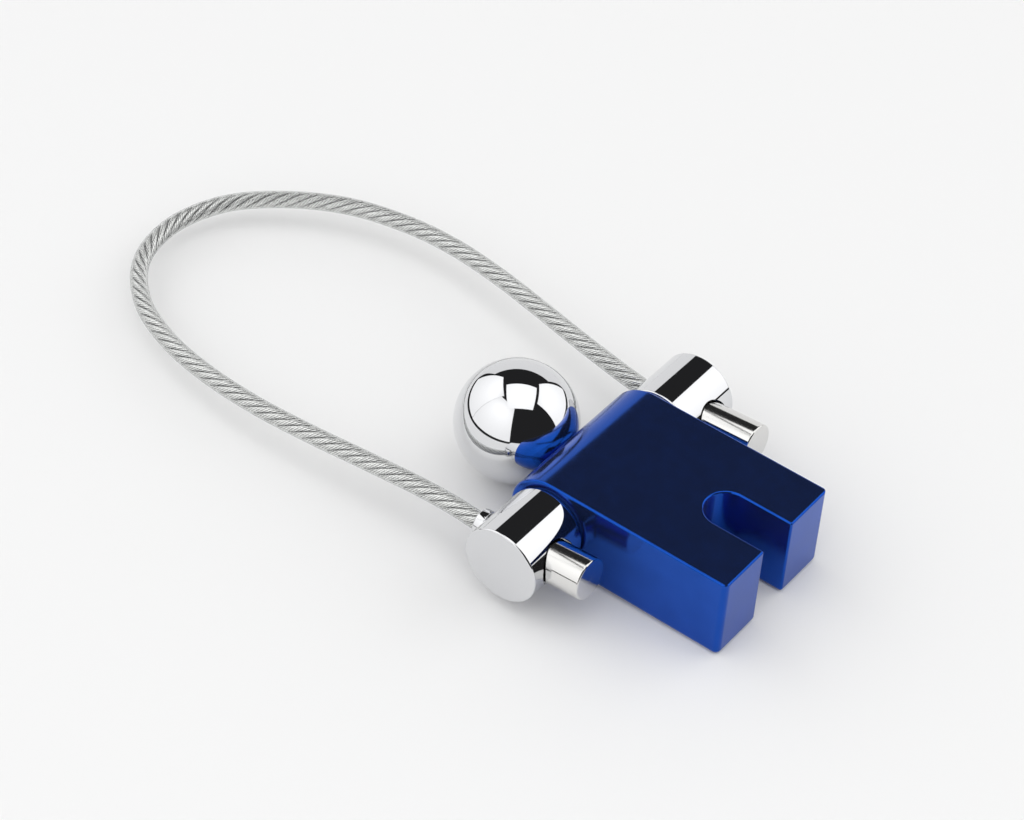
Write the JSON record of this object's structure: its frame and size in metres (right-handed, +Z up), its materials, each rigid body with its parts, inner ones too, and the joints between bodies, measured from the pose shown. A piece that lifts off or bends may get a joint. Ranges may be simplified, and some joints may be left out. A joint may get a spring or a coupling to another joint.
{
  "type": "wire rope key ring",
  "caption": "Key ring shaped like a little man: slotted metal torso, polished ball head, arms on an axle, and a coated wire-rope loop that opens where the hand unscrews.",
  "frame": {"origin": "on the table under the middle of the metal parts, without the rope", "axes": "+Y from the feet to the head and the rope loop, +Z up from back to chest, +X from the figure's fixed hand to the hand that unscrews; the part lies on its back, as it rests on a table"},
  "size_m": [0.0469, 0.1037, 0.016],
  "materials": {
    "lacquered_metal": "glossy translucent blue lacquer over polished metal",
    "chrome": "mirror polished",
    "steel": "turned, unpolished",
    "wire_rope": "bright drawn wire, stranded",
    "clear_coat": "clear soft plastic, slightly milky",
    "nylon": "natural nylon"
  },
  "bodies": {
    "torso": {"torso_block": "lacquered_metal", "head_ball": "chrome", "head_stud": "steel", "left_bush": "nylon", "right_bush": "nylon"},
    "arms": {"shoulder_axle": "steel", "wave_washer": "steel", "left_shoulder": "chrome", "right_shoulder": "chrome", "axle_grub_screws": "steel", "left_terminal": "steel", "right_terminal": "steel", "left_washer": "nylon", "left_hand": "chrome", "rope_core": "wire_rope", "rope_coat": "clear_coat"},
    "hand_washer": {"right_washer": "nylon"},
    "screw_hand": {"right_hand": "chrome"}
  },
  "joints": [
    {"name": "arms_turn", "type": "hinge", "parent": "torso", "child": "arms", "pos_m": [-0.00025, 0.00224, 0.00665], "axis": [1, 0, 0], "continuous": true},
    {"name": "hand_travel", "type": "slide", "parent": "arms", "child": "hand_washer", "axis": [0, -0.9991, 0.0435], "range_m": [0, 0.0045]},
    {"name": "hand_turn", "type": "hinge", "parent": "hand_washer", "child": "screw_hand", "pos_m": [0.01605, 0.00224, 0.00665], "axis": [0, -0.9991, 0.0435], "range_deg": [0, 3240]}
  ],
  "couplings": [
    {"joint": "hand_turn", "follows": "hand_travel", "rad_per_m": 12566}
  ]
}
